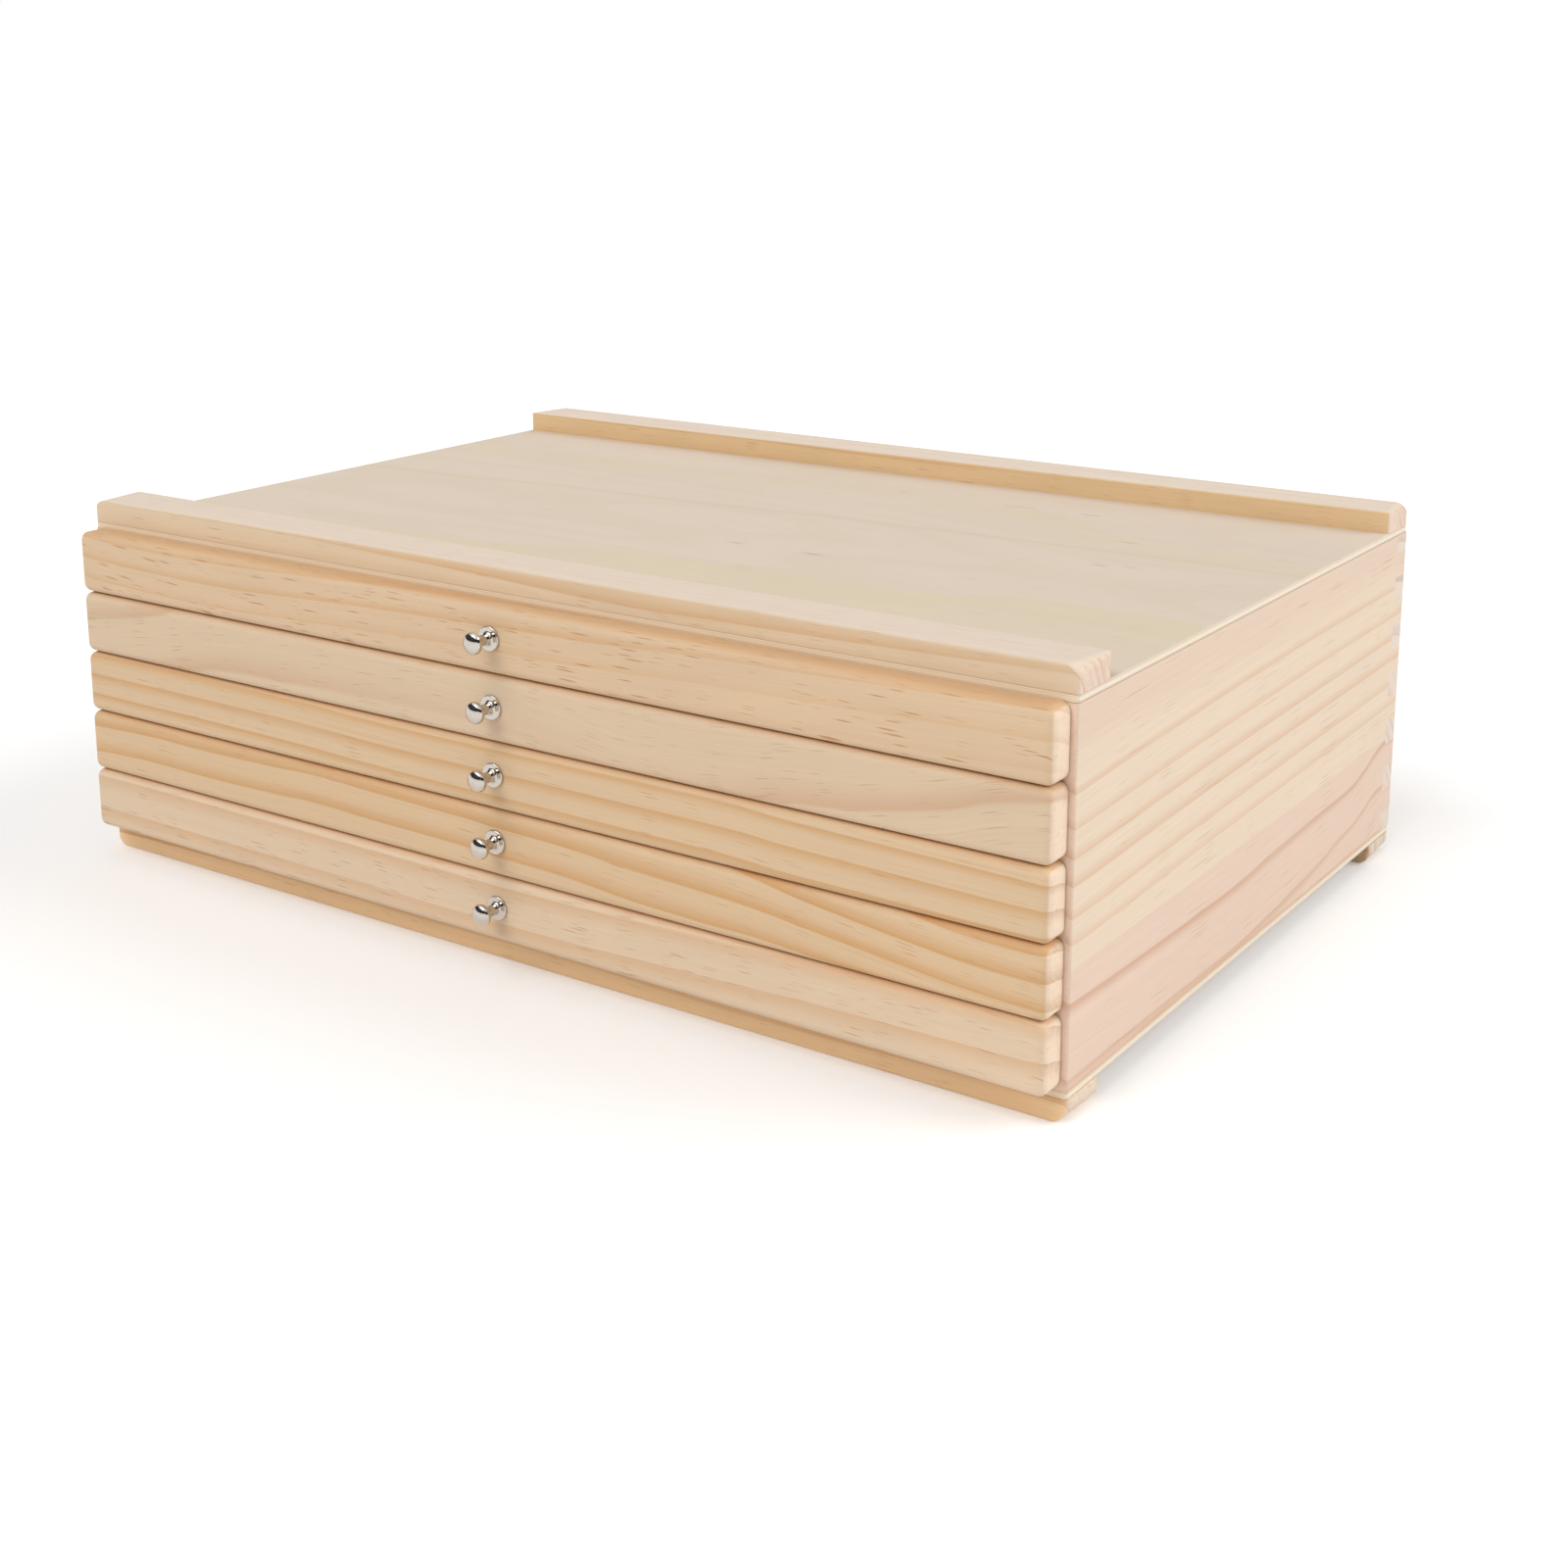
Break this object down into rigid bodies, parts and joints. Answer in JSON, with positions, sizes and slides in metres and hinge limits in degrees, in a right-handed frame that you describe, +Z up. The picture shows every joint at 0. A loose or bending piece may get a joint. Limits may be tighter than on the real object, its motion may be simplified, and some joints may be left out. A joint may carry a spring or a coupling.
{
  "type": "pencil drawer box",
  "caption": "Shallow pine case on foot rails with low rails across its top, holding a stack of shallow sliding drawers with small round metal knobs, for pencils and craft parts",
  "frame": {"origin": "on the surface the box stands on, in the middle of its width and of its depth over the knobs", "axes": "+Z up, +X along the width to the right, drawers open towards -Y"},
  "size_m": [0.4, 0.2838, 0.133],
  "materials": {
    "case_pine": "bare sanded pine, pale and slightly pink, fine grain",
    "rail_pine": "bare sanded pine, straight grain along the rail",
    "front_pine": "bare sanded pine with tan bands along the front",
    "plywood": "bare thin plywood, greyish cream face veneer",
    "drawer_pine": "bare sanded pine",
    "runner_pine": "bare planed pine",
    "knob_metal": "polished nickel plate",
    "screw_steel": "zinc-plated steel"
  },
  "bodies": {
    "case": {"side_panel_left": "case_pine", "side_panel_right": "case_pine", "back_panel": "case_pine", "top_panel": "plywood", "bottom_panel": "plywood", "top_rail_front": "rail_pine", "top_rail_rear": "rail_pine", "foot_rail_front": "rail_pine", "foot_rail_rear": "rail_pine", "runner_left_1": "runner_pine", "runner_left_2": "runner_pine", "runner_left_3": "runner_pine", "runner_left_4": "runner_pine", "runner_left_5": "runner_pine", "runner_right_1": "runner_pine", "runner_right_2": "runner_pine", "runner_right_3": "runner_pine", "runner_right_4": "runner_pine", "runner_right_5": "runner_pine"},
    "drawer_1": {"drawer_front_1": "front_pine", "drawer_side_left_1": "drawer_pine", "drawer_side_right_1": "drawer_pine", "drawer_back_1": "drawer_pine", "drawer_bottom_1": "plywood", "knob_1": "knob_metal", "knob_screw_1": "screw_steel"},
    "drawer_2": {"drawer_front_2": "front_pine", "drawer_side_left_2": "drawer_pine", "drawer_side_right_2": "drawer_pine", "drawer_back_2": "drawer_pine", "drawer_bottom_2": "plywood", "knob_2": "knob_metal", "knob_screw_2": "screw_steel"},
    "drawer_3": {"drawer_front_3": "front_pine", "drawer_side_left_3": "drawer_pine", "drawer_side_right_3": "drawer_pine", "drawer_back_3": "drawer_pine", "drawer_bottom_3": "plywood", "knob_3": "knob_metal", "knob_screw_3": "screw_steel"},
    "drawer_4": {"drawer_front_4": "front_pine", "drawer_side_left_4": "drawer_pine", "drawer_side_right_4": "drawer_pine", "drawer_back_4": "drawer_pine", "drawer_bottom_4": "plywood", "knob_4": "knob_metal", "knob_screw_4": "screw_steel"},
    "drawer_5": {"drawer_front_5": "front_pine", "drawer_side_left_5": "drawer_pine", "drawer_side_right_5": "drawer_pine", "drawer_back_5": "drawer_pine", "drawer_bottom_5": "plywood", "knob_5": "knob_metal", "knob_screw_5": "screw_steel"}
  },
  "joints": [
    {"name": "drawer_1_slide", "type": "slide", "parent": "case", "child": "drawer_1", "axis": [0, -1, 0], "range_m": [0, 0.2]},
    {"name": "drawer_2_slide", "type": "slide", "parent": "case", "child": "drawer_2", "axis": [0, -1, 0], "range_m": [0, 0.2]},
    {"name": "drawer_3_slide", "type": "slide", "parent": "case", "child": "drawer_3", "axis": [0, -1, 0], "range_m": [0, 0.2]},
    {"name": "drawer_4_slide", "type": "slide", "parent": "case", "child": "drawer_4", "axis": [0, -1, 0], "range_m": [0, 0.2]},
    {"name": "drawer_5_slide", "type": "slide", "parent": "case", "child": "drawer_5", "axis": [0, -1, 0], "range_m": [0, 0.2]}
  ]
}
